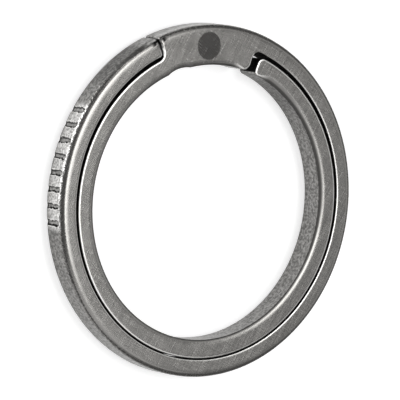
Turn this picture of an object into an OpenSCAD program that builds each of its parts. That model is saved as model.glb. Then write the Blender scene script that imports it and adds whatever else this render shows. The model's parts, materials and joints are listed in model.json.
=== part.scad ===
// Flat split key ring, machined from one plate of titanium.
// Lies on its back: the back face is z = 0, the axis is the Z axis, and +Y points to the pad,
// the only stretch of the band that no slit divides. Two springy arms leave the pad,
// one on each side, and lie one inside the other with a hair-thin slit between them.

/* [Ring] */
// Outside diameter
outer_d = 35; // [26:0.5:60]
// Thickness of the plate
thick = 2.7; // [1.8:0.1:4]
// Width of the outer arm, taken round the ring on average
outer_arm_w = 1.83; // [1.4:0.01:3]
// Width of the inner arm, taken round the ring on average
inner_arm_w = 1.83; // [1.4:0.01:3]
// How far the hole sits below the ring's centre, which leaves the pad wider
hole_drop = 0.14; // [0:0.02:0.4]

/* [Slit] */
// Width of the slit, on average
slit_w = 0.2; // [0.16:0.01:0.4]
// How much wider the slit is at the pad's end than on average, as the arms spring apart
slit_spread = 0.11; // [0:0.01:0.13]
// How far the slit's circle sits to the right of the ring's centre
slit_side = 0.06; // [0:0.01:0.4]
// How far the slit's circle sits below the ring's centre
slit_drop = 0.1; // [0:0.01:0.3]

/* [Arm ends] */
// Angle of the pad's left end, which the outer arm's tip meets
tip_a = 109.3; // [100:0.1:125]
// Clearance between the outer arm's tip and the pad
tip_gap = 0.2; // [0.1:0.01:0.5]
// Angle of the pad's right end, which faces the inner arm's end
key_a = 69; // [50:0.1:80]
// Clearance between the inner arm's end and the pad, where a key leaves
key_gap = 0.78; // [0.4:0.02:2]
// Radius on the outer arm's tip, on the slit's side
tip_r = 0.35; // [0.2:0.05:1]
// Radius on the inner arm's end, on the slit's side
end_r = 0.7; // [0.3:0.05:1]
// Radius in the two corners where an arm leaves the pad
root_r = 0.75; // [0.4:0.05:1.2]
// Radius on the pad's corner beside the key gap
pad_r = 0.8; // [0.2:0.05:1]
// Radius on the inner arm's other corner
nose_r = 0.45; // [0.1:0.05:0.6]
// Radius on both corners where the tip's clearance meets the outside
lip_r = 0.15; // [0.1:0.01:0.3]

/* [Root relief] */
// Angle of the shallow scoop that thins the band where the inner arm bends
relief_a = 104; // [98:0.5:112]
// Radius of the cutter that made the scoop
relief_r = 3.5; // [2:0.1:6]
// Depth of the scoop
relief_depth = 0.21; // [0.05:0.01:0.4]

/* [Edges] */
// Radius that rounds the outside, front and back
rim_r = 0.45; // [0.1:0.05:0.6]
// Radius that rounds the hole, front and back
hole_rim_r = 0.22; // [0.1:0.02:0.4]
// Chamfer on both edges of the slit
slit_c = 0.08; // [0.04:0.01:0.15]
// Height of the longer bevel on the front of the outer arm, at its tip
lead_h = 0.6; // [0.5:0.05:1.2]
// Width of that bevel at the tip
lead_w = 0.4; // [0.3:0.05:0.7]
// Angle over which the bevel runs out, back from the tip
lead_run = 38; // [15:1:60]

/* [Grip] */
// Number of grooves across the grip
grip_n = 8; // [1:1:12]
// Angle of the groove nearest the tip
grip_a = 145.7; // [130:0.1:170]
// Angle from one groove to the next
grip_pitch = 5.4; // [3:0.1:8]
// Width of each groove
grip_w = 0.6; // [0.3:0.02:1]
// Depth of each groove
grip_depth = 0.2; // [0.05:0.01:0.4]
// How far short of the front face each groove stops
grip_stop = 0.36; // [0.3:0.02:1]

/* [Hidden] */
$fn = 96;
outer_r = outer_d / 2;
slit_out_r = outer_r - outer_arm_w;
slit_in_r = slit_out_r - slit_w;
hole_r = slit_in_r - inner_arm_w;
hole_c = [0, -hole_drop];
walls_c = [slit_side, -slit_drop];
slit_out_c = [slit_side, -slit_drop + slit_spread / 2];
slit_in_c = [slit_side, -slit_drop - slit_spread / 2];
slit_mid_r = (slit_out_r + slit_in_r) / 2;
grip_r = grip_w * grip_w / (8 * grip_depth) + grip_depth / 2;
end_a = tip_a + asin(tip_gap / slit_mid_r);
free_a = key_a - asin(key_gap / (hole_r + inner_arm_w / 2));
// How far a patch laps over its neighbour, a fillet over its tangent point, and a cutter past a face
over = 0.05;
bite = 0.001;
past = 2;
far = 2 * outer_d;

// A point at radius r along the end wall at angle a
function wall_point(a, r) = walls_c + r * [cos(a), sin(a)];

// A point p seen from the end wall at angle a: x runs along the wall, y across it
function from_wall(p, a) =
    let (d = p - walls_c)
    [d[0] * cos(a) + d[1] * sin(a), d[1] * cos(a) - d[0] * sin(a)];

// Centre of the fillet of radius f between an end wall and the circle of centre c and radius r:
// side is +1 to the left of the wall, inside is +1 for a fillet inside the circle
function fillet_centre(c, r, f, side, inside) =
    [c[0] + sqrt(pow(r - inside * f, 2) - pow(side * f - c[1], 2)), side * f];

// Where a fillet touches its circle, as an angle round that circle's own centre
function fillet_touch(a, p, r, f, side, inside) =
    let (c = from_wall(p, a))
    let (o = fillet_centre(c, r, f, side, inside))
    a + atan2(o[1] - c[1], o[0] - c[0]);

// Takes a flat shape right through the plate
module through() {
    translate([0, 0, -past]) linear_extrude(thick + 2 * past) children();
}

// The sharp corner that a fillet takes away or fills in; the fillet is a hair larger than one
// that only touches, so that it crosses both sides cleanly
module corner(a, p, r, f, side, inside) {
    c = from_wall(p, a);
    o = fillet_centre(c, r, f, side, inside);
    reach = (r + inside * over) / norm(o - c);
    x = c[0] + sqrt(r * r - c[1] * c[1]) + inside * over;
    through() translate(walls_c) rotate(a) difference() {
        polygon([o, [o[0], -side * over], [x, -side * over], c + (o - c) * reach]);
        translate(o) circle(f + bite);
    }
}

// The flat space between two end walls
module between_walls(a0, a1, r0, r1) {
    through()
        polygon([wall_point(a0, r0), wall_point(a0, r1), wall_point(a1, r1), wall_point(a1, r0)]);
}

// The slit all the way round, and then without the stretch that the pad fills
module slit_band() {
    through() difference() {
        translate(slit_out_c) circle(slit_out_r);
        translate(slit_in_c) circle(slit_in_r);
        polygon([walls_c, wall_point(key_a, far), wall_point(90, far), wall_point(tip_a, far)]);
    }
}

// Everything cut out between the arms and the pad
module cut_out() {
    difference() {
        union() {
            slit_band();
            between_walls(tip_a, end_a, slit_mid_r, outer_r + past);
            between_walls(free_a, key_a, hole_r - past, slit_mid_r);
            corner(end_a, slit_out_c, slit_out_r, tip_r, 1, -1);
            corner(end_a, [0, 0], outer_r, lip_r, 1, 1);
            corner(tip_a, [0, 0], outer_r, lip_r, -1, 1);
            corner(free_a, slit_in_c, slit_in_r, end_r, -1, 1);
            corner(free_a, hole_c, hole_r, nose_r, -1, -1);
            corner(key_a, hole_c, hole_r, pad_r, 1, -1);
        }
        corner(tip_a, slit_in_c, slit_in_r, root_r, 1, -1);
        corner(key_a, slit_out_c, slit_out_r, root_r, -1, 1);
    }
}

// The sharp corner of a turned section that a radius f takes off; x and z are the corner's
// place, and dx and dz say which way the metal lies from it
module sharp_rim(x, z, dx, dz, f) {
    difference() {
        translate([x + dx * (f - over) / 2, z + dz * (f - over) / 2])
            square(f + over, center = true);
        translate([x + dx * f, z + dz * f]) circle(f);
    }
}

// The turned blank: a disc with both its rims rounded
module blank() {
    rotate_extrude() difference() {
        square([outer_r, thick]);
        sharp_rim(outer_r, 0, -1, 1, rim_r);
        sharp_rim(outer_r, thick, -1, -1, rim_r);
    }
}

// The hole, flared to a radius at each face
module hole() {
    flare = hole_r + hole_rim_r;
    translate([hole_c[0], hole_c[1], 0]) rotate_extrude() difference() {
        translate([0, -past]) square([flare, thick + 2 * past]);
        translate([hole_r, hole_rim_r]) square([past, thick - 2 * hole_rim_r]);
        translate([flare, hole_rim_r]) circle(hole_rim_r);
        translate([flare, thick - hole_rim_r]) circle(hole_rim_r);
    }
}

// The scoop beside the inner arm's root
module root_relief() {
    translate([hole_c[0], hole_c[1], 0])
        rotate(relief_a)
            translate([hole_r + relief_depth - relief_r, 0, -past])
                cylinder(r = relief_r, h = thick + 2 * past);
}

// The chamfers on one edge of the slit, front and back; side is +1 when the metal is outside
module slit_edge(c, r, side, a0, a1) {
    for (z = [0, thick]) {
        up = sign(z - thick / 2);
        translate([c[0], c[1], 0])
            rotate(a0)
                rotate_extrude(angle = a1 - a0)
                    polygon([
                        [r - side * over / 2, z - up * (slit_c + over / 2)],
                        [r + side * (slit_c + over), z + up * over],
                        [r - side * over / 2, z + up * over]
                    ]);
    }
}

// The longer bevel on the outer arm's tip: a cone set off centre, so that it runs out
module tip_lead() {
    shift = lead_w / (1 - cos(lead_run));
    base_r = outer_r + shift * cos(lead_run);
    slope = lead_h / lead_w;
    translate([-shift * cos(end_a), -shift * sin(end_a), 0])
        rotate(tip_a)
            rotate_extrude(angle = lead_run + past)
                polygon([
                    [base_r + past, thick - past * slope],
                    [base_r + past, thick + past],
                    [base_r - past / 2, thick + past],
                    [base_r - past / 2, thick + past * slope / 2]
                ]);
}

// One grip groove: a ball-nosed cutter comes in from the back and stops short of the front
module groove() {
    nose = thick - grip_stop;
    translate([outer_r - grip_depth + grip_r, 0, 0]) rotate_extrude() difference() {
        translate([0, -past]) square([grip_r, nose + past]);
        sharp_rim(grip_r, nose, -1, -1, grip_r);
    }
}

// The whole ring, one solid
module ring() {
    color([0.52, 0.51, 0.49])
        difference() {
            blank();
            hole();
            root_relief();
            cut_out();
            slit_edge(
                slit_out_c, slit_out_r, 1,
                fillet_touch(end_a, slit_out_c, slit_out_r, tip_r, 1, -1),
                fillet_touch(key_a, slit_out_c, slit_out_r, root_r, -1, 1) + 360
            );
            slit_edge(
                slit_in_c, slit_in_r, -1,
                fillet_touch(tip_a, slit_in_c, slit_in_r, root_r, 1, -1),
                fillet_touch(free_a, slit_in_c, slit_in_r, end_r, -1, 1) + 360
            );
            tip_lead();
            for (i = [0 : grip_n - 1]) rotate(grip_a + i * grip_pitch) groove();
        }
}

ring();
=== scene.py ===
# %% [markdown]
# A flat split key ring, cut from one plate of titanium. A wide pad sits at the top. Two springy arms
# leave it, one from each side, and lie one inside the other with a hair-thin slit between them. A key
# rides in at the tip of the outer arm, and leaves past the end of the inner arm.
# The imported model gives the ring's width, its thickness and its hole, so it is loaded before anything
# is made. Typing these sizes in again would let the two drift apart.

# %% Load the imported model
import json
import math

import bmesh
import bpy
import mathutils.noise
from mathutils import Matrix, Vector


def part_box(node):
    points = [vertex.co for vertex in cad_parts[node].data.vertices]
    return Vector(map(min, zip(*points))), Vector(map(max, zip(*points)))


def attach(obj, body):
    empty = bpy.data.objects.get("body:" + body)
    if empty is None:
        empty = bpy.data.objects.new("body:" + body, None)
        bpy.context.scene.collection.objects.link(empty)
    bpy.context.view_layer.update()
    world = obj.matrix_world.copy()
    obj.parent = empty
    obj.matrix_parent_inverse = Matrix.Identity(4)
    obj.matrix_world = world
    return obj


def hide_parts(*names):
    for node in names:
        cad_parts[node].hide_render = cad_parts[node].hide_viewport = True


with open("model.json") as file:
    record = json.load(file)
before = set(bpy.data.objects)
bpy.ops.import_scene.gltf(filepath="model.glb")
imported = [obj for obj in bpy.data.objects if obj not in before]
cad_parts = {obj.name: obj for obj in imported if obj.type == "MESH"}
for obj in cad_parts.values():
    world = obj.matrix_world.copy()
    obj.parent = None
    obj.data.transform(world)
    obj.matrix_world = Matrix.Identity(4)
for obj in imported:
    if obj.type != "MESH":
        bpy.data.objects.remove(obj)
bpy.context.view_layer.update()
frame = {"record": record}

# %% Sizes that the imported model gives
MM = 0.001
low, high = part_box("ring")
outer_r = (high.x - low.x) / 2 / MM
thick = (high.z - low.z) / MM
hole_mount = next(m for m in frame["record"]["mounts"] if m["name"] == "hole")
hole_r = hole_mount["dims"]["r_mm"]
hole_c = Vector(hole_mount["pos_m"][:2]) / MM
print(f"ring {2 * outer_r:.2f} mm across and {thick:.2f} mm thick, hole {2 * hole_r:.2f} mm")

# %% [markdown]
# The plan of the ring is drawn in millimetres: small bevels are then well clear of the sizes that
# Blender takes for nothing. The slit has two walls, each a circle of its own, because the arms have
# sprung apart a little more beside the pad. Four straight walls end the pad and the arms. Each is told
# by its angle alone, so every corner is worked out as the place where a wall meets a circle.

# %% Sizes of the plan
slit_out_c, slit_out_r = Vector((0.06, -0.045)), 15.67
slit_in_c, slit_in_r = Vector((0.06, -0.155)), 15.47
walls_c = (slit_out_c + slit_in_c) / 2

pad_left = 109.3
pad_right = 69.0
tip_gap = 0.2
key_gap = 0.78
tip_end = pad_left + math.degrees(math.asin(tip_gap / slit_in_r))
inner_end = pad_right - math.degrees(math.asin(key_gap / (hole_r + slit_in_r) * 2))
print(f"tip of the outer arm at {tip_end:.2f} degrees, end of the inner arm at {inner_end:.2f}")


# %% Angles and crossings
def ray(angle):
    """A step of 1 mm from the middle towards an angle in degrees."""
    return Vector((math.cos(math.radians(angle)), math.sin(math.radians(angle))))


def angle_of(place):
    """The angle of a place, from 0 to 360 degrees."""
    return math.degrees(math.atan2(place.y, place.x)) % 360


def apart(angle, other):
    """How many degrees lie between two angles, the short way round."""
    return abs((angle - other + 180) % 360 - 180)


def meet(angle, centre, radius):
    """Where the straight wall at an angle crosses a circle."""
    along = ray(angle)
    off = walls_c - centre
    near = along.dot(off)
    return walls_c + along * (math.sqrt(near * near - off.dot(off) + radius * radius) - near)


middle = Vector((0, 0))
tip_outside = meet(tip_end, middle, outer_r)
pad_outside = meet(pad_left, middle, outer_r)
left_root = meet(pad_left, slit_in_c, slit_in_r)
inner_corner = meet(inner_end, slit_in_c, slit_in_r)
inner_nose = meet(inner_end, hole_c, hole_r)
pad_corner = meet(pad_right, hole_c, hole_r)
right_root = meet(pad_right, slit_out_c, slit_out_r)
tip_corner = meet(tip_end, slit_out_c, slit_out_r)
print(f"pad {(pad_outside - left_root).length:.2f} mm wide at its left end, outside the slit")

# %% [markdown]
# Beside the pad a cutter has taken a shallow scoop out of the hole, so that the inner arm bends there.
# Where the scoop starts and ends follows from the cutter's radius and its depth.

# %% The scoop
scoop_a, scoop_r, scoop_depth = 104.0, 3.5, 0.21
scoop_c = hole_c + ray(scoop_a) * (hole_r + scoop_depth - scoop_r)
scoop_reach = (scoop_c - hole_c).length
scoop_half = math.degrees(math.acos(
    (hole_r ** 2 + scoop_reach ** 2 - scoop_r ** 2) / (2 * hole_r * scoop_reach)))
print(f"scoop of {2 * scoop_half:.1f} degrees, {scoop_depth:.2f} mm deep")

# %% [markdown]
# The outline could be typed in as a long list of points. It is walked instead, as a cutter would go
# round it: a vertex is spun about a centre to draw an arc, or pushed straight along a wall. Each arc
# starts and ends with a long step, which leaves room for the corner that is rounded there later, and
# the grip gets very short steps, which later carry its grooves.

# %% Three ways to carry the outline on
plain_step, corner_step = 1.5, 3.2


def spin_to(vert, centre, goal, turn, step):
    """Goes round a centre: turn is 1 to go anticlockwise and -1 to go clockwise."""
    here = Vector(vert.co[:2]) - centre
    there = goal - centre
    swing = (turn * math.degrees(math.atan2(here.cross(there), here.dot(there)))) % 360
    made = bmesh.ops.spin(
        bm, geom=[vert], cent=(*centre, 0), axis=(0, 0, 1), dvec=(0, 0, 0),
        angle=turn * math.radians(swing), steps=max(1, round(swing / step)),
        use_merge=False, use_normal_flip=False, use_duplicate=False)
    return next(v for v in made["geom_last"] if isinstance(v, bmesh.types.BMVert))


def push_to(vert, goal):
    """Goes straight on."""
    made = bmesh.ops.extrude_vert_indiv(bm, verts=[vert])
    made["verts"][0].co = (*goal, 0)
    return made["verts"][0]


def arc_between_corners(vert, centre, goal, turn):
    """Goes round a centre with a long first and last step, between corners that are rounded later."""
    start = Vector(vert.co[:2]) - centre
    near_start = centre + ray(angle_of(start) + turn * corner_step) * start.length
    near_goal = centre + ray(angle_of(goal - centre) - turn * corner_step) * start.length
    vert = spin_to(vert, centre, near_start, turn, corner_step)
    vert = spin_to(vert, centre, near_goal, turn, plain_step)
    return spin_to(vert, centre, goal, turn, corner_step)


# %% Walk round the outline
grip_first, grip_last, grip_step = 142.0, 187.0, 0.2
scoop_step, pad_step = 4.0, 4.0

bm = bmesh.new()
wear_and_glint = bm.verts.layers.float.new("wear_and_glint")
shade = bm.verts.layers.float.new("shade")
rub_and_sheen = bm.verts.layers.float.new("rub_and_sheen")
side = bm.verts.layers.float.new("side")

pen = bm.verts.new((*tip_outside, 0))
pen = spin_to(pen, middle, ray(grip_first) * outer_r, 1, plain_step)
pen = spin_to(pen, middle, ray(grip_last) * outer_r, 1, grip_step)
pen = spin_to(pen, middle, pad_outside, 1, plain_step)
pen = push_to(pen, left_root)
pen = arc_between_corners(pen, slit_in_c, inner_corner, 1)
pen = push_to(pen, inner_nose)
pen = spin_to(pen, hole_c, hole_c + ray(inner_end - corner_step) * hole_r, -1, corner_step)
pen = spin_to(pen, hole_c, hole_c + ray(scoop_a + scoop_half) * hole_r, -1, plain_step)
pen = spin_to(pen, scoop_c, hole_c + ray(scoop_a - scoop_half) * hole_r, -1, scoop_step)
pen = spin_to(pen, hole_c, hole_c + ray(pad_right + pad_step) * hole_r, -1, plain_step)
pen = spin_to(pen, hole_c, pad_corner, -1, pad_step)
pen = push_to(pen, right_root)
pen = arc_between_corners(pen, slit_out_c, tip_corner, -1)
pen = push_to(pen, tip_outside)
bmesh.ops.remove_doubles(bm, verts=bm.verts, dist=0.001)
print(f"outline of {len(bm.edges)} edges, closed: {all(len(v.link_edges) == 2 for v in bm.verts)}")

# %% [markdown]
# The outline is filled to one flat face, and its corners are rounded while it is still flat. On the
# real ring the cutter's own radius leaves them. A vertex bevel does that here, with an offset equal to
# the radius, because each wall meets its circle squarely. The two corners on the outside stay sharp
# for now, as the big rounding of the rim has to reach them.

# %% Fill the outline and round its corners
root_r, end_r, nose_r, pad_r, tip_r = 0.75, 0.7, 0.45, 0.8, 0.35
corner_radii = [
    (left_root, root_r), (right_root, root_r), (inner_corner, end_r),
    (inner_nose, nose_r), (pad_corner, pad_r), (tip_corner, tip_r),
]
bmesh.ops.edgeloop_fill(bm, edges=bm.edges)
for place, radius in corner_radii:
    corner = min(bm.verts, key=lambda v: (Vector(v.co[:2]) - place).length)
    bmesh.ops.bevel(
        bm, geom=[corner], offset=radius, offset_type="OFFSET", segments=7, profile=0.5,
        affect="VERTICES", clamp_overlap=False, material=-1)
print(f"plan area {sum(f.calc_area() for f in bm.faces):.1f} mm2 in {len(bm.verts)} points")

# %% Raise the outline to a plate
bottom = bm.faces[:]
bmesh.ops.recalc_face_normals(bm, faces=bottom)
raised = bmesh.ops.extrude_face_region(bm, geom=bottom, use_keep_orig=True)
top_verts = [v for v in raised["geom"] if isinstance(v, bmesh.types.BMVert)]
bmesh.ops.translate(bm, verts=top_verts, vec=(0, 0, thick))
bmesh.ops.recalc_face_normals(bm, faces=bm.faces)
print(f"plate of {bm.calc_volume():.1f} mm3 before its edges are rounded")

# %% [markdown]
# Both outside rims are rounded next. A bevel makes a quarter of a circle. Hours in a bowl of tumbling
# stones leave another curve: it starts so gently on the face that nobody can say where, and it is
# tightest near the wall. A finer bevel or a subdivision would keep the circle, so each point of the
# bevel is moved instead, on to an ellipse with a power of its own at each end. Many changes further on
# are gentle steps. A pair of numbers then says where a step starts or ends, and how long it runs.


# %% Curves and gentle steps
def ease(value):
    """A step from 0 to 1 with a gentle start and end."""
    value = min(max(value, 0.0), 1.0)
    return value * value * (3 - 2 * value)


def rise(value, start, run):
    """0 up to a start, then gently up to 1 over a run."""
    return ease((value - start) / run)


def fall(value, end, run):
    """1 as far as a run before an end, then gently down to 0 there."""
    return ease((end - value) / run)


def turned(amount, width, depth, start, finish):
    """Where a rounding has got to when it has turned by an amount from 0, the face, to 1, the wall:
    how far from the wall, and how far below the face."""
    swing = min(max(amount, 0.0), 1.0) * math.pi / 2
    return (width * (1 - math.sin(swing) ** (2 / start)),
            depth * (1 - max(math.cos(swing), 0.0) ** (2 / finish)))


def drop_of(vert):
    """How far a point lies below the nearer face."""
    return min(vert.co.z, thick - vert.co.z)


def set_drop(vert, drop):
    """Puts a point so far below the nearer face."""
    vert.co.z = thick - drop if vert.co.z > thick / 2 else drop


print("a rounding of 1 by 1 mm, half turned:", [round(v, 2) for v in turned(0.5, 1, 1, 2.8, 2.0)])

# %% [markdown]
# The front rim is widest at the grip, where fingers and stones wear it most, and slims by up to three
# tenths on the far side. The back rim is plain and tighter. One bevel on all four outside edges comes
# first, and its points are then carried on to the two curves.

# %% Round the outside rims
bevel_w = 0.75
rim_w, rim_drop = 0.95, 0.62
rim_start, rim_finish = 2.8, 2.0
back_w, back_drop = 0.5, 0.42
grip_middle, slim_by = 150.0, 0.3


def is_rim(edge):
    """True for an edge of the outside circle, on the front or on the back."""
    flat = abs(edge.verts[0].co.z - edge.verts[1].co.z) < 0.001
    return flat and all(abs(Vector(v.co[:2]).length - outer_r) < 0.002 for v in edge.verts)


rim_edges = [e for e in bm.edges if is_rim(e)]
rounded = bmesh.ops.bevel(
    bm, geom=rim_edges, offset=bevel_w, offset_type="OFFSET", segments=11, profile=0.5,
    affect="EDGES", clamp_overlap=False, material=-1)
for vert in {v for f in rounded["faces"] for v in f.verts}:
    place = Vector(vert.co[:2])
    across = (place.length - outer_r + bevel_w) / bevel_w
    amount = math.atan2(across, 1 - drop_of(vert) / bevel_w) / (math.pi / 2)
    if vert.co.z > thick / 2:
        slim = 1 - slim_by * math.sin(math.radians(apart(angle_of(place), grip_middle)) / 2)
        aside, drop = turned(amount, rim_w * slim, rim_drop * slim, rim_start, rim_finish)
    else:
        aside, drop = turned(amount, back_w, back_drop, 2.0, 2.0)
    set_drop(vert, drop)
    vert.co.xy = place * (outer_r - aside) / place.length
print(f"{len(rim_edges)} rim edges rounded, {len(bm.faces)} faces")

# %% [markdown]
# No tumbled part keeps a sharp edge, so every other edge is rolled over. A bevel of six steps finds
# them all, and then its points are lowered on to a roll that falls away slowly and turns down only at
# its end.

# %% Bevel the edges that are still sharp
roll_w = 0.2
sharp = math.radians(40)
sharp_edges = [e for e in bm.edges if len(e.link_faces) == 2 and e.calc_face_angle() > sharp]
broken = bmesh.ops.bevel(
    bm, geom=sharp_edges, offset=roll_w, offset_type="OFFSET", segments=6, profile=0.5,
    affect="EDGES", clamp_overlap=False, material=-1)
print(f"{len(sharp_edges)} edges bevelled")

# %% [markdown]
# High edges are rubbed to bright metal, and their colour is lighter still than bare metal: it is wear
# and a painted highlight of the light that glints along them. Just inside a narrow gap the metal gets
# painted shade, near black. Both could come from a curvature mask, which is coarse and changes with
# the mesh. Here each point of an edge is told how bright and how dark it is, while it is known how far
# down the roll it lies, and the metal reads these values later. The outer arm's side of the slit gets
# less painted highlight and sooner painted shade, most of all near the pad, while the pad's left end
# gets the most painted highlight and the least painted shade.

# %% Note how bright and how dark the edges are
edge_wear_and_glint, edge_dark, hole_line = {}, {}, {}
bright_in, bright_out = (0.0, 0.4), (0.82, 0.25)
dark_from, outer_arm_dark_from, root_sooner, dark_run = 0.65, 0.5, 0.25, 0.22
outer_arm_glint, root_loss, root_in = 0.55, 0.85, (30.0, 25.0)
key_end_glint, key_end_run, key_end_dark_in = 0.2, 9.0, (0.25, 0.3)
pad_left_glint, pad_left_dark = 0.9, 0.25
near_wall, near_slit, near_end, pad_end_w = 0.05, 0.02, 2.0, 0.3


def note_edge(vert, place, travelled):
    """Notes wear, painted highlight and painted shade at an edge point travelled from 0, the face, to 1.
    """
    angle = angle_of(place)
    on_outer_arm = (place - slit_out_c).length > slit_out_r - near_wall
    on_outer_arm = on_outer_arm and not pad_right < angle < tip_end + near_end
    # The outer arm's slit edge: a weaker painted highlight and sooner painted shade, most near the pad.
    by_root = rise(angle, *root_in) if angle < pad_right else 0.0
    wear_glint_here = outer_arm_glint * (1 - root_loss * by_root) if on_outer_arm else 1.0
    dark_here = outer_arm_dark_from - root_sooner * by_root if on_outer_arm else dark_from
    worn_glint_here = rise(travelled, *bright_in)
    edge_wear_and_glint[vert] = wear_glint_here * worn_glint_here * fall(travelled, *bright_out)
    edge_dark[vert] = rise(travelled, dark_here, dark_run)
    # At the inner arm's end by the key gap: little painted highlight, and painted shade early on.
    at_key_end = inner_end - key_end_run < angle < pad_right + 2 * near_end
    if at_key_end and (place - slit_in_c).length > slit_in_r - near_slit:
        edge_wear_and_glint[vert] *= key_end_glint
        edge_dark[vert] = rise(travelled, *key_end_dark_in)
    # The pad's left end: the strongest painted highlight and the least painted shade.
    if pad_left - near_end < angle < pad_left + pad_end_w and place.length > slit_in_r:
        edge_wear_and_glint[vert] = max(edge_wear_and_glint[vert], pad_left_glint * worn_glint_here)
        edge_dark[vert] *= pad_left_dark


# %% [markdown]
# Round the hole the roll is wider and deeper, because a ring is always rubbed there, and widest on the
# right, where keys hang. It grows out of the plain roll on both sides of the key gap. A thin line
# near the wall gets painted shade, and so does the rim on the upper right, as far as the key gap.

# %% Lower the bevel's points on to the roll
roll_drop, roll_power, nose_drop, nose_power = 0.05, 1.5, 0.06, 3
rim_roll_in = (outer_r - rim_w - 0.15, 0.2)
hole_rim_w, hole_rim_drop, hole_room = 0.52, 0.2, 0.1
key_middle, key_room = (pad_right + inner_end) / 2, 7.0
widest_a, widen_by, widen_out = 30.0, 0.35, (75.0, 50.0)
line_dark, line_from, line_sooner, line_run, line_out = 0.65, 0.4, 0.2, 0.25, (1.0, 0.15)
key_side_dark, key_side_in, key_side_out = 0.35, (32.0, 14.0), (pad_right, 4.0)
key_side_down = (0.0, 0.2)


def widen_round_hole(vert, out, amount, travelled, drop, grown):
    """Moves a point of the hole's edge on to the wider roll, and notes its line of painted shade."""
    angle = angle_of(out)
    on_right = fall(apart(angle, widest_a), *widen_out)
    width = hole_rim_w * (1 + widen_by * on_right)
    aside, deep = turned(amount, roll_w + (width - roll_w) * grown, hole_rim_drop, 2.0, 2.0)
    set_drop(vert, drop + (deep - drop) * grown)
    wall = out.length - roll_w * (1 - travelled)
    vert.co.xy = hole_c + out * (wall + aside) / out.length
    # A thin line of painted shade near the wall, and painted shade on the rim beside the key gap.
    line = rise(amount, line_from - line_sooner * on_right, line_run) * fall(amount, *line_out)
    key_side_shade = rise(angle, *key_side_in) * fall(angle, *key_side_out) * rise(amount, *key_side_down)
    edge_wear_and_glint[vert] *= 1 - grown
    edge_dark[vert] = max(line_dark * line, key_side_dark * key_side_shade) * grown
    hole_line[vert] = edge_dark[vert]


def roll_over(vert):
    """Moves a point of the bevel to its place on the roll."""
    drop = drop_of(vert)
    if drop > roll_w * 1.01:
        return
    level = min(max(1 - drop / roll_w, 0.0), 1.0)
    amount = math.acos(level) / (math.pi / 2)
    travelled = math.sin(amount * math.pi / 2)
    place = Vector(vert.co[:2])
    note_edge(vert, place, travelled)
    new_drop = roll_drop * travelled ** roll_power + nose_drop * (1 - level) ** nose_power
    out = place - hole_c
    grown = rise(apart(angle_of(out), key_middle), key_room / 2, key_room)
    if grown > 0 and out.length <= hole_r + scoop_depth + roll_w + hole_room:
        widen_round_hole(vert, out, amount, travelled, new_drop, grown)
        return
    on_rim = rise(place.length, *rim_roll_in)
    set_drop(vert, new_drop + (drop - new_drop) * on_rim)
    edge_wear_and_glint[vert] *= 1 - on_rim


for vert in {v for f in broken["faces"] for v in f.verts}:
    roll_over(vert)
print(f"{len(edge_wear_and_glint)} points rolled over, {len(hole_line)} of them round the hole")

# %% [markdown]
# The two faces are now single faces of hundreds of points. Blender cuts such a face into thin
# triangles, which can show where light glances off it. A narrow inset all the way round keeps them off
# the roundings.

# %% Frame the flat faces
flat_faces = [f for f in bm.faces if len(f.verts) > 200]
bmesh.ops.inset_region(
    bm, faces=flat_faces, thickness=0.1, depth=0, use_even_offset=True, use_boundary=True)
print(f"{len(flat_faces)} flat faces of {[len(f.verts) for f in flat_faces]} points")

# %% [markdown]
# A grip of eight short grooves is cut across the outside of the outer arm, for a thumbnail, and a long
# bevel at the tip leads a key into the slit. Both could be cut with a boolean, which leaves ragged
# faces and needs sharp edges. Here a vertex simply moves in towards the middle until it lies on the
# cutter, and where cutter and wall meet the two are blended over a few hundredths of a millimetre,
# which rounds the groove's edge. The wall needs more rows of points for that.

# %% More rows on the outside wall
wall_rows = 14
for row in range(1, wall_rows):
    height = rim_drop + row * (thick - 2 * rim_drop) / wall_rows
    wall = [f for f in bm.faces
            if abs(f.normal.z) < 0.1 and f.calc_center_median().xy.length > outer_r - 0.2]
    geom = wall + list({e for f in wall for e in f.edges}) + list({v for f in wall for v in f.verts})
    bmesh.ops.bisect_plane(bm, geom=geom, dist=0.0001, plane_co=(0, 0, height), plane_no=(0, 0, 1))
print(f"{len(bm.verts)} points with the new rows")

# %% The cutters
groove_n, groove_a, groove_pitch = 8, 145.7, 5.4
groove_w, groove_depth, groove_stop = 0.6, 0.2, 0.36
ball_r = groove_w ** 2 / (8 * groove_depth) + groove_depth / 2
ball_z = thick - groove_stop - ball_r
cutter_at = outer_r - groove_depth + ball_r

lead_h, lead_w, lead_run = 0.6, 0.4, 38.0
lead_shift = lead_w / (1 - math.cos(math.radians(lead_run)))
lead_c = -ray(tip_end) * lead_shift
lead_r = outer_r + lead_shift * math.cos(math.radians(lead_run))


def soft_min(a, b, width):
    """The smaller of two distances, with the step between them rounded off."""
    share = min(max(0.5 + 0.5 * (b - a) / width, 0.0), 1.0)
    return b * (1 - share) + a * share - width * share * (1 - share)


def groove_floor(angle, z):
    """How far out the metal reaches at one place, as far as the nearest groove goes."""
    nearest = min(max(round((angle - groove_a) / groove_pitch), 0), groove_n - 1)
    off = math.radians(angle - groove_a - nearest * groove_pitch)
    if abs(off) > 0.1:
        return outer_r + 1
    reach = ball_r ** 2 - (cutter_at * math.sin(off)) ** 2 - max(z - ball_z, 0.0) ** 2
    if reach <= 0:
        return outer_r + math.sqrt(-reach)
    return cutter_at * math.cos(off) - math.sqrt(reach)


def lead_reach(place, z):
    """How far out the metal reaches at one place, as far as the long bevel goes."""
    along = place.normalized()
    cone = lead_r + (thick - z) * lead_w / lead_h
    near = along.dot(lead_c)
    return near + math.sqrt(near * near - lead_c.dot(lead_c) + cone * cone)


print(f"grooves cut by a ball of {ball_r:.3f} mm radius, the bevel by a cone of {lead_r:.1f} mm")
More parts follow.
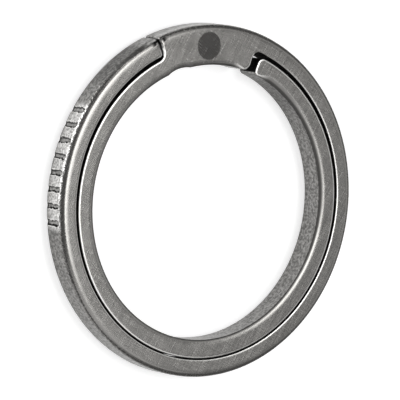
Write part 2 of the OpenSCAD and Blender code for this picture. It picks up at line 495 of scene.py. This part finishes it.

# %% [markdown]
# No two grooves of a tumbled grip are alike, because the stones chip and smear their edges. So each
# groove wanders and its floor is a little uneven, by seeded noise. While a point is pressed in, it is
# noted whether it lies in a groove, on its lip, on a steep side, which gets painted shade, or on a land
# between two grooves, which is polished and gets a painted sheen. The long bevel gets painted shade,
# except at the very tip, where it gets a painted highlight. The wall between the tip and the grip gets
# painted shade too.

# %% How one point is pressed
groove_wander, groove_uneven = 0.25, 0.02
lip_softness, lead_softness = 0.03, 0.05
lip_in, lip_out, steep_in, far_side_shade = (-0.2, 0.1), (0.05, 0.05), (0.35, 0.2), 0.8
lead_in, lead_down = (0.0, 0.08), (0.9, 0.5)
lead_shade, lead_shade_in = 0.65, (112.5, 4.0)
lead_highlight, lead_highlight_out, lead_highlight_down = 0.6, (116.0, 3.0), (0.2, 0.2)
before_grip_shade, before_grip_in, before_grip_out = 0.35, (114.0, 4.0), (138.0, 6.0)
before_grip_down = (0.3, 0.4)
grip_fade, grip_down = 2.5, (0.12, 0.2)
in_groove, at_lip, pressed_painted_shade, polish_and_sheen = {}, {}, {}, {}


def torn(angle, z, seed):
    """A wander of about -1 to 1 along a groove."""
    return mathutils.noise.noise(Vector((angle * 0.5 + seed, z * 3.0, seed))) * 2


def press_groove(vert, angle, limit):
    """How far out the metal still reaches when the nearest groove has been cut."""
    wander = angle + groove_wander * torn(angle, vert.co.z, 3.0)
    floor_at = groove_floor(wander, vert.co.z) + groove_uneven * torn(angle, vert.co.z, 9.0)
    cut = limit - floor_at
    in_groove[vert] = min(max(cut / groove_depth, 0.0), 1.0)
    at_lip[vert] = rise(cut, *lip_in) * fall(cut, *lip_out)
    off_centre = (wander - groove_a + groove_pitch / 2) % groove_pitch - groove_pitch / 2
    aside = abs(math.radians(off_centre)) * outer_r * 2 / groove_w
    # The steep sides of a groove get painted shade, a little less on one side.
    steep = rise(aside, *steep_in) if cut > 0 else 0.0
    pressed_painted_shade[vert] = max(pressed_painted_shade[vert], steep * (1.0 if off_centre > 0 else far_side_shade))
    # The grip's polish, lifted further as a painted sheen.
    polish_and_sheen[vert] = rise(angle, grip_first, grip_fade) * fall(angle, grip_last, grip_fade)
    polish_and_sheen[vert] *= rise(drop_of(vert), *grip_down)
    return soft_min(limit, floor_at, lip_softness)


def press(vert, place, angle):
    """How far out the metal still reaches when bevel and grooves have been cut."""
    below = thick - vert.co.z
    limit = soft_min(place.length, lead_reach(place, vert.co.z), lead_softness)
    on_lead = rise(place.length - limit, *lead_in) * fall(below, *lead_down)
    # Painted shade on the long bevel, except at the tip, and on the wall between the tip and the grip.
    on_lead_shade = lead_shade * on_lead * rise(angle, *lead_shade_in)
    before_grip = rise(angle, *before_grip_in) * fall(angle, *before_grip_out)
    before_grip *= before_grip_shade * rise(below, *before_grip_down)
    pressed_painted_shade[vert] = max(on_lead_shade, before_grip)
    # A painted highlight on the long bevel at the very tip.
    polish_and_sheen[vert] = lead_highlight * on_lead * fall(angle, *lead_highlight_out) * rise(below, *lead_highlight_down)
    return press_groove(vert, angle, limit) if angle > grip_first else limit


# %% Press the outer arm
press_from, least_press = tip_end - 0.35, 0.0001
bm.normal_update()
pressed = 0
for vert in bm.verts:
    place = Vector(vert.co[:2])
    angle = angle_of(place)
    if place.length < outer_r - rim_w or not press_from < angle < grip_last:
        continue
    limit = press(vert, place, angle)
    if limit < place.length - least_press:
        vert.co.xy = place * limit / place.length
        pressed += 1
print(f"{pressed} points pressed in")

# %% [markdown]
# Four values are now written on every point, and the metal reads them: one for bare bright edges,
# which is wear and partly a painted highlight; one for painted shade; one for lands polished by
# fingers, which is partly a painted sheen; and one for walls that stand upright, whose grain is
# coarser. Walls inside the slit and the gaps are in full painted shade. A band below the front of the
# pad's outside gets a painted sheen, and the back rim and the hole's wall on the right get painted
# shade.

# %% Write wear, polish, painted shade and painted sheen on the points
pad_sheen, pad_sheen_in, pad_sheen_out = 0.4, (60.0, 20.0), (pad_left + 1, 2.0)
band_in, band_out, polish_sheen_out = (0.2, 0.3), (1.6, 0.8), (3.4, 2.4)
groove_unrubbed, outside_w = 0.7, 0.3
back_shade, back_out = 0.75, (back_drop, 0.12)
hole_shade, hole_shade_in, hole_wall_w = 0.3, (10.0, 40.0), 0.05
gap_margin, gap_angle = 0.06, 2.5
tip_gap_from, tip_gap_to = slit_in_r - 0.8, outer_r - 0.2
key_gap_from, key_gap_to = hole_r + 0.1, slit_out_r + 0.1
side_from, side_run = 0.9, 0.6


def in_gap(place):
    """True on the walls of the slit, of the tip's clearance and of the key gap."""
    angle = angle_of(place - walls_c)
    in_slit = (place - slit_out_c).length < slit_out_r + gap_margin
    in_slit = in_slit and (place - slit_in_c).length > slit_in_r - gap_margin
    in_tip = tip_gap_from < place.length < tip_gap_to
    in_tip = in_tip and pad_left - gap_angle < angle < tip_end + gap_angle
    in_key = key_gap_from < place.length < key_gap_to
    in_key = in_key and inner_end - gap_angle < angle < pad_right + gap_angle
    return in_slit or in_tip or in_key


def shade_at(vert, place, angle):
    """How much painted shade a point gets, from 0 to 1."""
    # Inside the slit and the gaps: painted shade, near black below the rolled edge.
    if in_gap(place):
        dark = edge_dark.get(vert, 1.0 if drop_of(vert) > 0.01 else 0.0)
    else:
        dark = max(pressed_painted_shade.get(vert, 0.0), hole_line.get(vert, 0.0))
    # Painted shade on the hole's wall on the right, as far as the pad.
    if (place - hole_c).length < hole_r + hole_wall_w and angle < pad_right:
        dark = max(dark, hole_shade * rise(angle, *hole_shade_in))
    # Painted shade on the back rim.
    if place.length > outer_r - back_w / 2:
        dark = max(dark, back_shade * fall(vert.co.z, *back_out))
    return dark


def polish_and_sheen_at(vert, place, angle):
    """How much polish and painted sheen a point gets, from 0 to 1."""
    below = thick - vert.co.z
    amount = polish_and_sheen.get(vert, 0.0)
    if place.length > outer_r - outside_w and vert not in polish_and_sheen:
        # A band of painted sheen on the outside of the pad.
        band = rise(below, *band_in) * fall(below, *band_out)
        amount = pad_sheen * band * rise(angle, *pad_sheen_in) * fall(angle, *pad_sheen_out)
    amount *= 1 - groove_unrubbed * in_groove.get(vert, 0.0)
    return amount * fall(below, *polish_sheen_out)


bm.normal_update()
for vert in bm.verts:
    place = Vector(vert.co[:2])
    angle = angle_of(place)
    vert[wear_and_glint] = max(edge_wear_and_glint.get(vert, 0.0), at_lip.get(vert, 0.0))
    vert[shade] = shade_at(vert, place, angle)
    vert[rub_and_sheen] = polish_and_sheen_at(vert, place, angle)
    vert[side] = min(max((side_from - abs(vert.normal.z)) / side_run, 0.0), 1.0)
for name, layer in (("wear_and_glint", wear_and_glint), ("shade", shade), ("rub_and_sheen", rub_and_sheen), ("side", side)):
    print(f"{name}: on {sum(v[layer] > 0.01 for v in bm.verts)} of {len(bm.verts)} points")

# %% [markdown]
# The mesh becomes an object in metres. Its normals are weighted by the size of each face, so the two
# big flat faces stay flat right up to their edges and only the roundings turn the light. Marking edges
# as sharp would do that too, but a tumbled ring has none.

# %% Make the ring's object
bmesh.ops.scale(bm, verts=bm.verts, vec=(MM, MM, MM))
bmesh.ops.recalc_face_normals(bm, faces=bm.faces)
for face in bm.faces:
    face.smooth = True
mesh = bpy.data.meshes.new("split_ring")
bm.to_mesh(mesh)
bm.free()
split_ring = bpy.data.objects.new("split_ring", mesh)
bpy.context.scene.collection.objects.link(split_ring)
weighted = split_ring.modifiers.new("even shading", "WEIGHTED_NORMAL")
weighted.weight = 100
print(f"ring mesh of {len(mesh.polygons)} faces")

# %% [markdown]
# Stonewashed titanium is bare metal that was shaken with ceramic stones. It is a satin grey, a little
# warm, with fine grain, soft dents, crossing hair scratches and bright edges. An image of such metal
# could be wrapped round it, but it would stretch over the roundings. So the finish is built from noise
# that reads the place in the metal itself, and every side gets it at the same scale.


# %% Nodes that the materials are built from
def maths(tree, operation, a, b):
    """A Math node with a socket or a number on each side."""
    node = tree.nodes.new("ShaderNodeMath")
    node.operation = operation
    for socket, value in zip(node.inputs, (a, b)):
        if isinstance(value, bpy.types.NodeSocket):
            tree.links.new(value, socket)
        else:
            socket.default_value = value
    return node.outputs[0]


def span(tree, value, from_low, from_high, to_low, to_high):
    """A value stretched from one range to another."""
    node = tree.nodes.new("ShaderNodeMapRange")
    tree.links.new(value, node.inputs["Value"])
    node.inputs["From Min"].default_value = from_low
    node.inputs["From Max"].default_value = from_high
    node.inputs["To Min"].default_value = to_low
    node.inputs["To Max"].default_value = to_high
    return node.outputs["Result"]


def blend_colours(tree, amount, first, second):
    """A colour between two, each of which is a socket or three numbers."""
    node = tree.nodes.new("ShaderNodeMix")
    node.data_type = "RGBA"
    tree.links.new(amount, node.inputs[0])
    for socket, colour in zip(node.inputs[6:8], (first, second)):
        if isinstance(colour, bpy.types.NodeSocket):
            tree.links.new(colour, socket)
        else:
            socket.default_value = (*colour, 1)
    return node.outputs[2]


def painted(tree, name):
    """A value that was written on the mesh's points."""
    node = tree.nodes.new("ShaderNodeAttribute")
    node.attribute_name = name
    return node.outputs["Fac"]


# %% Nodes for grain and scratches
def noise(tree, place, lumps, detail):
    """Noise of so many lumps to the millimetre."""
    node = tree.nodes.new("ShaderNodeTexNoise")
    node.inputs["Scale"].default_value = lumps
    node.inputs["Detail"].default_value = detail
    tree.links.new(place, node.inputs["Vector"])
    return node.outputs["Fac"]


def stretched(tree, place, angle, length, width):
    """Coordinates for streaks of so many millimetres that run at an angle across the face."""
    node = tree.nodes.new("ShaderNodeMapping")
    node.vector_type = "TEXTURE"
    node.inputs["Rotation"].default_value = (0, 0, math.radians(angle))
    node.inputs["Scale"].default_value = (length, width, width)
    tree.links.new(place, node.inputs["Vector"])
    return node.outputs["Vector"]


# %% Start the metal
titanium = bpy.data.materials.new("stonewashed titanium")
titanium.use_nodes = True
metal = titanium.node_tree
metal_shader = metal.nodes["Principled BSDF"]
metal_shader.inputs["Metallic"].default_value = 1.0

in_metres = metal.nodes.new("ShaderNodeTexCoord")
in_mm = metal.nodes.new("ShaderNodeVectorMath")
in_mm.operation = "SCALE"
in_mm.inputs["Scale"].default_value = 1 / MM
metal.links.new(in_metres.outputs["Object"], in_mm.inputs[0])
spot_in_metal = in_mm.outputs["Vector"]

worn_and_glint, shaded = painted(metal, "wear_and_glint"), painted(metal, "shade")
polish_and_sheen_mask, on_wall = painted(metal, "rub_and_sheen"), painted(metal, "side")
print(f"material {titanium.name} reads {[a.name for a in mesh.attributes if a.data_type == 'FLOAT']}")

# %% [markdown]
# Two sets of hair scratches cross the faces, one long and one short, over broad soft blotches. The
# walls have a sparkle of tiny pits instead, because the stones hit them head on. The lands of the grip
# are drawn out into fine lines by the thumb.

# %% Grain
along_long = stretched(metal, spot_in_metal, angle=58.0, length=2.4, width=0.11)
along_short = stretched(metal, spot_in_metal, angle=-28.0, length=1.6, width=0.14)
along_thumb = stretched(metal, spot_in_metal, angle=90.0, length=0.2, width=0.2)
long_hairs = noise(metal, along_long, lumps=1.0, detail=2.0)
short_hairs = noise(metal, along_short, lumps=1.0, detail=1.0)
thumb_lines = noise(metal, along_thumb, lumps=1.0, detail=2.0)
blotches = noise(metal, spot_in_metal, lumps=0.9, detail=4.0)
pits = noise(metal, spot_in_metal, lumps=3.6, detail=3.0)
dents = noise(metal, spot_in_metal, lumps=0.45, detail=1.0)
scratches = maths(metal, "ADD", long_hairs, maths(metal, "MULTIPLY", short_hairs, 0.5))
print(f"{sum(n.bl_idname == 'ShaderNodeTexNoise' for n in metal.nodes)} noises in the metal")

# %% [markdown]
# The face and wall colours are those of the bare metal in plain light. Over them go polish, lifted
# further as a painted sheen, then worn edges, lifted further as a painted highlight, in the order in
# which the real finish came about, and last a near black painted shade: in the gaps, on the steep
# sides of the grooves, on the long bevel, on the back rim and round the hole.

# %% Colour
face_dark, face_light = (0.222, 0.217, 0.208), (0.248, 0.242, 0.232)
wall_dark, wall_light = (0.12, 0.118, 0.113), (0.30, 0.294, 0.285)
# Polished metal, lightened further as a painted sheen.
land_dark, land_light = (0.3, 0.295, 0.287), (0.9, 0.89, 0.875)
# Bare edges lightened as a painted highlight, and the near black colour of painted shade.
bare_edge_glint, painted_shade_colour = (0.9, 0.89, 0.87), (0.004, 0.004, 0.004)
polish_sheen_share, wear_glint_share, shade_share = 0.85, 0.85, 0.97

tone = maths(metal, "ADD", maths(metal, "MULTIPLY", blotches, 0.8), scratches)
face_colour = blend_colours(metal, span(metal, tone, 0.8, 1.5, 0.0, 1.0), face_dark, face_light)
wall_colour = blend_colours(metal, span(metal, pits, 0.4, 0.62, 0.0, 1.0), wall_dark, wall_light)
lined = span(metal, thumb_lines, 0.35, 0.65, 0.0, 1.0)
land_colour = blend_colours(metal, lined, land_dark, land_light)

colour = blend_colours(metal, on_wall, face_colour, wall_colour)
# Polish, partly a painted sheen.
colour = blend_colours(metal, maths(metal, "MULTIPLY", polish_and_sheen_mask, polish_sheen_share), colour, land_colour)
# Worn edges, partly a painted highlight.
colour = blend_colours(metal, maths(metal, "MULTIPLY", worn_and_glint, wear_glint_share), colour, bare_edge_glint)
# Painted shade.
colour = blend_colours(metal, maths(metal, "MULTIPLY", shaded, shade_share), colour, painted_shade_colour)
print(f"faces {face_dark} to {face_light}, walls {wall_dark} to {wall_light}")

# %% [markdown]
# A ring of this kind often has a small dark mark burnt on its pad by a laser. Here it is only a plain
# round spot. A disc of its own would stand proud, and a real one has no thickness, so it is a change of
# colour: all the metal within a short distance of one point of the front face. A laser fills a shape
# in fine parallel lines, which a wave texture gives.

# %% The spot on the pad
mark_place, mark_r, mark_lines = ray(89.4) * 15.4, 1.4, 1.57
mark_colour = (0.03, 0.029, 0.028)

from_mark = metal.nodes.new("ShaderNodeVectorMath")
from_mark.operation = "DISTANCE"
metal.links.new(spot_in_metal, from_mark.inputs[0])
from_mark.inputs[1].default_value = (*mark_place, thick)
marked = span(metal, from_mark.outputs["Value"], mark_r - 0.06, mark_r + 0.02, 1.0, 0.0)
laser_lines = metal.nodes.new("ShaderNodeTexWave")
laser_lines.inputs["Scale"].default_value = mark_lines
aslant = stretched(metal, spot_in_metal, angle=45.0, length=1.0, width=1.0)
metal.links.new(aslant, laser_lines.inputs["Vector"])
burnt = maths(metal, "MULTIPLY", marked, span(metal, laser_lines.outputs["Fac"], 0.0, 1.0, 0.6, 1.0))
colour = blend_colours(metal, burnt, colour, mark_colour)
metal.links.new(colour, metal_shader.inputs["Base Color"])
print(f"spot {2 * mark_r:.1f} mm across, {mark_place.length:.1f} mm above the middle")

# %% [markdown]
# Tumbled metal is neither dull nor a mirror. Its gloss varies with the scratches, the walls and the
# worn edges are a little rougher, and the gaps are dull, so that they don't catch the light at a low
# angle. The same scratches, pits and dents also lift and lower the surface through one bump.

# %% Gloss and bump
gloss_low, gloss_high = 0.2, 0.28
wall_rougher, edge_rougher, gap_rougher = 0.06, 0.1, 0.6
bump_height = 0.24
scratch_relief, pit_relief, dent_relief = 0.005, 0.6, 0.05

roughness = span(metal, scratches, 0.5, 1.0, gloss_low, gloss_high)
for place_of, rougher in ((on_wall, wall_rougher), (worn_and_glint, edge_rougher), (shaded, gap_rougher)):
    roughness = maths(metal, "ADD", roughness, maths(metal, "MULTIPLY", place_of, rougher))
metal.links.new(roughness, metal_shader.inputs["Roughness"])

wall_pits = maths(metal, "MULTIPLY", maths(metal, "MULTIPLY", pits, on_wall), pit_relief)
relief = maths(metal, "ADD", maths(metal, "MULTIPLY", scratches, scratch_relief), wall_pits)
relief = maths(metal, "ADD", relief, maths(metal, "MULTIPLY", dents, dent_relief))
bump = metal.nodes.new("ShaderNodeBump")
bump.inputs["Strength"].default_value = 1.0
bump.inputs["Distance"].default_value = bump_height * MM
metal.links.new(relief, bump.inputs["Height"])
metal.links.new(bump.outputs["Normal"], metal_shader.inputs["Normal"])
print(f"roughness from {gloss_low} on the faces, {len(metal.nodes)} nodes in the metal")

# %% [markdown]
# The ring has only one body, so it rides on root. It stands for the imported node, which is hidden, and
# gets the stonewashed titanium as its one material.

# %% Put the metal on the ring
split_ring.data.materials.append(titanium)
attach(split_ring, "root")
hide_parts("ring")
print(f"{split_ring.name} is made of {titanium.name}")

# %% [markdown]
# The ring lies on its back, as it does on a bench, so it needs no stand. The floor is plain and pale.
# A lamp strong enough to make it white would burn out the metal. So it keeps a light grey colour, which
# holds the ring's shadow, and it adds a little white of its own, only for the camera and for what is
# mirrored in the metal.

# %% Floor
floor_half, floor_grey, floor_white = 3.0, 0.7, 0.6

plan = bmesh.new()
bmesh.ops.create_grid(plan, x_segments=1, y_segments=1, size=floor_half)
floor_mesh = bpy.data.meshes.new("floor")
plan.to_mesh(floor_mesh)
plan.free()
floor = bpy.data.objects.new("floor", floor_mesh)
bpy.context.scene.collection.objects.link(floor)

pale = bpy.data.materials.new("pale floor")
pale.use_nodes = True
pale_shader = pale.node_tree.nodes["Principled BSDF"]
pale_shader.inputs["Base Color"].default_value = (floor_grey, floor_grey, floor_grey, 1)
pale_shader.inputs["Roughness"].default_value = 0.9
pale_shader.inputs["Specular IOR Level"].default_value = 0.0
pale_shader.inputs["Emission Color"].default_value = (1, 1, 1, 1)
path = pale.node_tree.nodes.new("ShaderNodeLightPath")
seen = maths(pale.node_tree, "MAXIMUM", path.outputs["Is Camera Ray"], path.outputs["Is Glossy Ray"])
added = maths(pale.node_tree, "MULTIPLY", seen, floor_white)
pale.node_tree.links.new(added, pale_shader.inputs["Emission Strength"])
floor_mesh.materials.append(pale)
print(f"floor {2 * floor_half:.0f} m across")

# %% [markdown]
# Metal shows what stands round it, so the lamps are wide softboxes and their places matter more than
# their power. One hangs overhead and gives the gentle bright band on the front rim. A low one on the
# left lights the grip, and the dark room between the two draws the thin dark line along the rim. Four
# weak fills and a dim grey room keep the rest from going black. Together they light a flat face so
# that a colour renders about as it is written.


# %% Light
def softbox(name, direction, size, brightness):
    """A lamp 1 m away that faces the ring; brightness is how bright it looks from there."""
    lamp = bpy.data.lights.new(name, "AREA")
    lamp.shape = "RECTANGLE"
    lamp.size, lamp.size_y = size
    lamp.energy = brightness * size[0] * size[1] * math.pi
    holder = bpy.data.objects.new(name, lamp)
    bpy.context.scene.collection.objects.link(holder)
    away = Vector(direction).normalized()
    holder.location = away
    holder.rotation_mode = "QUATERNION"
    holder.rotation_quaternion = away.to_track_quat("Z", "Y")
    print(f"{name}: {lamp.energy:.1f} W")


softbox("overhead softbox", direction=(0.29, 0.07, 0.95), size=(0.54, 0.36), brightness=5.6)
softbox("low left softbox", direction=(-0.85, 0.50, 0.2), size=(0.9, 0.36), brightness=6.8)
softbox("low front fill", direction=(-0.66, -0.72, 0.21), size=(1.15, 0.42), brightness=1.4)
softbox("front fill", direction=(0.15, -0.47, 0.86), size=(0.8, 0.45), brightness=1.0)
softbox("back fill", direction=(0.36, 0.44, 0.83), size=(0.7, 0.4), brightness=0.9)
softbox("right fill", direction=(0.79, -0.05, 0.61), size=(0.6, 0.32), brightness=0.8)

# %% The grey room
room_grey = 0.2
room = bpy.data.worlds.new("room")
room.use_nodes = True
room.node_tree.nodes["Background"].inputs["Color"].default_value = (room_grey, room_grey, room_grey, 1)
room.node_tree.nodes["Background"].inputs["Strength"].default_value = 1.0
bpy.context.scene.world = room
print(f"room of grey {room_grey}")

# %% [markdown]
# The camera looks down on the lying ring from the side where its grip is. It could be turned by hand
# with angles. Two directions are easier to read: the one from the ring to the camera, and the one that
# is up in its view. A long lens from far off keeps the ring's circle almost free of perspective.

# %% Camera
toward_camera = Vector((-0.5709, 0.1175, 0.8125)).normalized()
up_in_view = Vector((0.0675, 0.9931, -0.0961))
camera_distance = 0.648
target = Vector((0, 0, high.z / 2))

right_in_view = up_in_view.cross(toward_camera).normalized()
up_in_view = toward_camera.cross(right_in_view)
camera = bpy.data.cameras.new("camera")
camera.lens = 590
camera.clip_end = 20
camera_object = bpy.data.objects.new("camera", camera)
bpy.context.scene.collection.objects.link(camera_object)
axes = Matrix((right_in_view, up_in_view, toward_camera)).transposed().to_4x4()
camera_object.matrix_world = Matrix.Translation(target + toward_camera * camera_distance) @ axes
bpy.context.scene.camera = camera_object
bpy.context.scene.view_settings.view_transform = "Standard"
print(f"camera {camera_distance} m away with a {camera.lens:.0f} mm lens")
